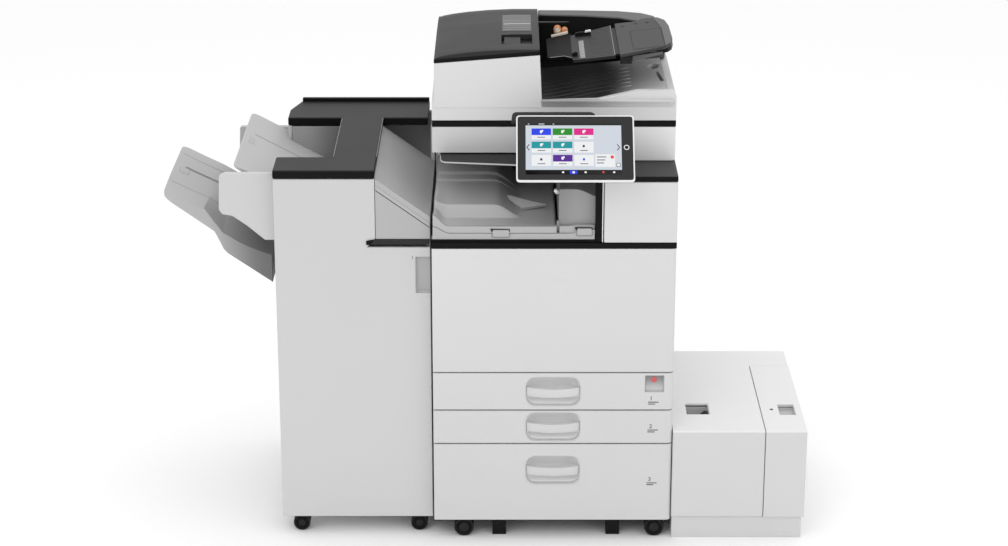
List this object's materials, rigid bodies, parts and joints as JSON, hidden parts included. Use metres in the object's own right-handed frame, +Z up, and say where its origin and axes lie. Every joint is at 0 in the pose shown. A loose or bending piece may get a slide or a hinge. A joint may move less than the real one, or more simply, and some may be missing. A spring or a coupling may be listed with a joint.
{
  "type": "photocopier",
  "caption": "Floor-standing office photocopier with document feeder, tilting touch panel, paper drawers, a staple finisher on its left and a side paper magazine on its right.",
  "frame": {"origin": "on the floor, in the middle of the whole machine seen from above", "axes": "+Z up, the operator stands at -Y, +X to the right of the operator, towards the paper magazine"},
  "size_m": [1.576, 0.7596, 1.222],
  "materials": {
    "white_cover": "fine textured moulded cover",
    "pale_part": "light grey moulded plastic",
    "grey_tray": "mid grey ribbed moulding",
    "dark_trim": "dark grey textured moulding",
    "black_part": "black moulding",
    "frame_steel": "zinc-plated sheet",
    "platen": "clear float glass",
    "screen": "glossy touch screen",
    "wheel_rubber": "hard caster tread",
    "roller_rubber": "feed roller",
    "toner_black": "black bottle",
    "toner_cyan": "cyan bottle",
    "toner_magenta": "magenta bottle",
    "toner_yellow": "yellow bottle"
  },
  "bodies": {
    "cabinet": {"base_frame": "black_part", "left_side_cover": "white_cover", "right_side_cover": "white_cover", "rear_cover": "white_cover", "power_inlet": "black_part", "engine_deck": "frame_steel", "inner_cover": "pale_part", "front_trim": "dark_trim", "output_tray": "grey_tray", "exit_unit": "pale_part", "tower_cover": "white_cover", "tower_cap": "dark_trim", "scanner_housing": "white_cover", "scanner_frame": "black_part", "platen_glass": "platen", "feeder_hinge": "frame_steel", "panel_arm": "dark_trim", "finisher_housing": "white_cover", "finisher_slope_cover": "pale_part", "finisher_top_cover": "dark_trim", "upper_tray": "pale_part", "exit_cover": "white_cover"},
    "feeder": {"feeder_base": "white_cover", "feeder_housing": "white_cover", "feeder_rear_arm": "dark_trim", "feeder_exit_tray": "grey_tray"},
    "feeder_cover": {"feeder_cover": "dark_trim"},
    "pickup": {"pickup_roller": "roller_rubber"},
    "document_tray": {"document_tray": "dark_trim"},
    "front_guide": {"front_guide": "black_part"},
    "rear_guide": {"rear_guide": "black_part"},
    "panel": {"panel_housing": "white_cover", "panel_screen": "screen"},
    "home_key": {"home_key": "dark_trim"},
    "front_door": {"front_door": "white_cover"},
    "bypass_tray": {"bypass_tray": "white_cover"},
    "scan_carriage": {"scan_carriage": "black_part"},
    "finisher_door": {"finisher_door": "white_cover"},
    "shift_tray": {"shift_tray": "grey_tray"},
    "magazine": {"magazine_base": "white_cover", "magazine_cover": "white_cover"},
    "magazine_hatch": {"magazine_hatch": "white_cover"},
    "tray_1": {"tray_1_front": "white_cover", "tray_1_bin": "pale_part"},
    "tray_2": {"tray_2_front": "white_cover", "tray_2_bin": "pale_part"},
    "tray_3": {"tray_3_front": "white_cover", "tray_3_bin": "pale_part"},
    "toner_1": {"toner_bottle_1": "toner_black"},
    "toner_2": {"toner_bottle_2": "toner_cyan"},
    "toner_3": {"toner_bottle_3": "toner_magenta"},
    "toner_4": {"toner_bottle_4": "toner_yellow"},
    "front_left_caster": {"front_left_caster_yoke": "black_part"},
    "front_left_wheel": {"front_left_caster_wheel": "wheel_rubber"},
    "front_right_caster": {"front_right_caster_yoke": "black_part"},
    "front_right_wheel": {"front_right_caster_wheel": "wheel_rubber"},
    "finisher_left_caster": {"finisher_left_caster_yoke": "black_part"},
    "finisher_left_wheel": {"finisher_left_caster_wheel": "wheel_rubber"},
    "finisher_right_caster": {"finisher_right_caster_yoke": "black_part"},
    "finisher_right_wheel": {"finisher_right_caster_wheel": "wheel_rubber"}
  },
  "joints": [
    {"name": "feeder_lift", "type": "hinge", "parent": "cabinet", "child": "feeder", "pos_m": [0.162, 0.33978, 1.0455], "axis": [-1, 0, 0], "range_deg": [0, 70]},
    {"name": "feeder_cover_swing", "type": "hinge", "parent": "feeder", "child": "feeder_cover", "pos_m": [-0.125, 0.08778, 1.1905], "axis": [0, -1, 0], "range_deg": [0, 80]},
    {"name": "pickup_spin", "type": "hinge", "parent": "feeder_cover", "child": "pickup", "pos_m": [0.176, 0.18378, 1.188], "axis": [0, 1, 0], "continuous": true},
    {"name": "document_tray_lift", "type": "hinge", "parent": "feeder", "child": "document_tray", "pos_m": [0.148, 0.03478, 1.17], "axis": [0, -1, 0], "range_deg": [0, 30]},
    {"name": "front_guide_slide", "type": "slide", "parent": "document_tray", "child": "front_guide", "axis": [0, 1, 0], "range_m": [0, 0.06]},
    {"name": "rear_guide_slide", "type": "slide", "parent": "document_tray", "child": "rear_guide", "axis": [0, 1, 0], "range_m": [-0.06, 0]},
    {"name": "panel_tilt", "type": "hinge", "parent": "cabinet", "child": "panel", "pos_m": [0.207, -0.29597, 1.00272], "axis": [1, 0, 0], "range_deg": [-25, 35]},
    {"name": "home_key_press", "type": "slide", "parent": "panel", "child": "home_key", "axis": [0, 0.7314, -0.682], "range_m": [0, 0.0015], "stiffness_N_per_m": 300, "springref_m": -0.001},
    {"name": "front_door_drop", "type": "hinge", "parent": "cabinet", "child": "front_door", "pos_m": [0.162, -0.27522, 0.446], "axis": [1, 0, 0], "range_deg": [0, 90]},
    {"name": "bypass_tray_fold", "type": "hinge", "parent": "cabinet", "child": "bypass_tray", "pos_m": [0.4555, 0.03478, 0.49], "axis": [0, 1, 0], "range_deg": [0, 75]},
    {"name": "scan_carriage_travel", "type": "slide", "parent": "cabinet", "child": "scan_carriage", "axis": [1, 0, 0], "range_m": [0, 0.46]},
    {"name": "tray_1_slide", "type": "slide", "parent": "cabinet", "child": "tray_1", "axis": [0, -1, 0], "range_m": [0, 0.42]},
    {"name": "tray_2_slide", "type": "slide", "parent": "cabinet", "child": "tray_2", "axis": [0, -1, 0], "range_m": [0, 0.42]},
    {"name": "tray_3_slide", "type": "slide", "parent": "cabinet", "child": "tray_3", "axis": [0, -1, 0], "range_m": [0, 0.42]},
    {"name": "toner_1_spin", "type": "hinge", "parent": "cabinet", "child": "toner_1", "pos_m": [-0.033, -0.06222, 0.69], "axis": [0, 1, 0], "continuous": true},
    {"name": "toner_2_spin", "type": "hinge", "parent": "cabinet", "child": "toner_2", "pos_m": [0.097, -0.06222, 0.69], "axis": [0, 1, 0], "continuous": true},
    {"name": "toner_3_spin", "type": "hinge", "parent": "cabinet", "child": "toner_3", "pos_m": [0.227, -0.06222, 0.69], "axis": [0, 1, 0], "continuous": true},
    {"name": "toner_4_spin", "type": "hinge", "parent": "cabinet", "child": "toner_4", "pos_m": [0.357, -0.06222, 0.69], "axis": [0, 1, 0], "continuous": true},
    {"name": "front_left_swivel", "type": "hinge", "parent": "cabinet", "child": "front_left_caster", "pos_m": [-0.072, -0.24322, 0.045], "axis": [0, 0, 1], "continuous": true},
    {"name": "front_left_roll", "type": "hinge", "parent": "front_left_caster", "child": "front_left_wheel", "pos_m": [-0.058, -0.24322, 0.0243], "axis": [0, 1, 0], "continuous": true},
    {"name": "front_right_swivel", "type": "hinge", "parent": "cabinet", "child": "front_right_caster", "pos_m": [0.402, -0.24322, 0.045], "axis": [0, 0, 1], "continuous": true},
    {"name": "front_right_roll", "type": "hinge", "parent": "front_right_caster", "child": "front_right_wheel", "pos_m": [0.416, -0.24322, 0.0243], "axis": [0, 1, 0], "continuous": true},
    {"name": "finisher_left_swivel", "type": "hinge", "parent": "cabinet", "child": "finisher_left_caster", "pos_m": [-0.479, -0.21022, 0.045], "axis": [0, 0, 1], "continuous": true},
    {"name": "finisher_left_roll", "type": "hinge", "parent": "finisher_left_caster", "child": "finisher_left_wheel", "pos_m": [-0.465, -0.21022, 0.0213], "axis": [0, 1, 0], "continuous": true},
    {"name": "finisher_right_swivel", "type": "hinge", "parent": "cabinet", "child": "finisher_right_caster", "pos_m": [-0.184, -0.21022, 0.045], "axis": [0, 0, 1], "continuous": true},
    {"name": "finisher_right_roll", "type": "hinge", "parent": "finisher_right_caster", "child": "finisher_right_wheel", "pos_m": [-0.17, -0.21022, 0.0213], "axis": [0, 1, 0], "continuous": true},
    {"name": "finisher_door_swing", "type": "hinge", "parent": "cabinet", "child": "finisher_door", "pos_m": [-0.51, -0.24522, 0.487], "axis": [0, 0, -1], "range_deg": [0, 100]},
    {"name": "shift_tray_travel", "type": "slide", "parent": "cabinet", "child": "shift_tray", "axis": [0, 0, 1], "range_m": [-0.42, 0]},
    {"name": "magazine_slide", "type": "slide", "parent": "cabinet", "child": "magazine", "axis": [1, 0, 0], "range_m": [0, 0.25]},
    {"name": "magazine_hatch_swing", "type": "hinge", "parent": "magazine", "child": "magazine_hatch", "pos_m": [0.788, -0.05722, 0.0575], "axis": [0, 1, 0], "range_deg": [0, 75]}
  ],
  "couplings": [
    {"joint": "rear_guide_slide", "follows": "front_guide_slide", "ratio": -1}
  ]
}
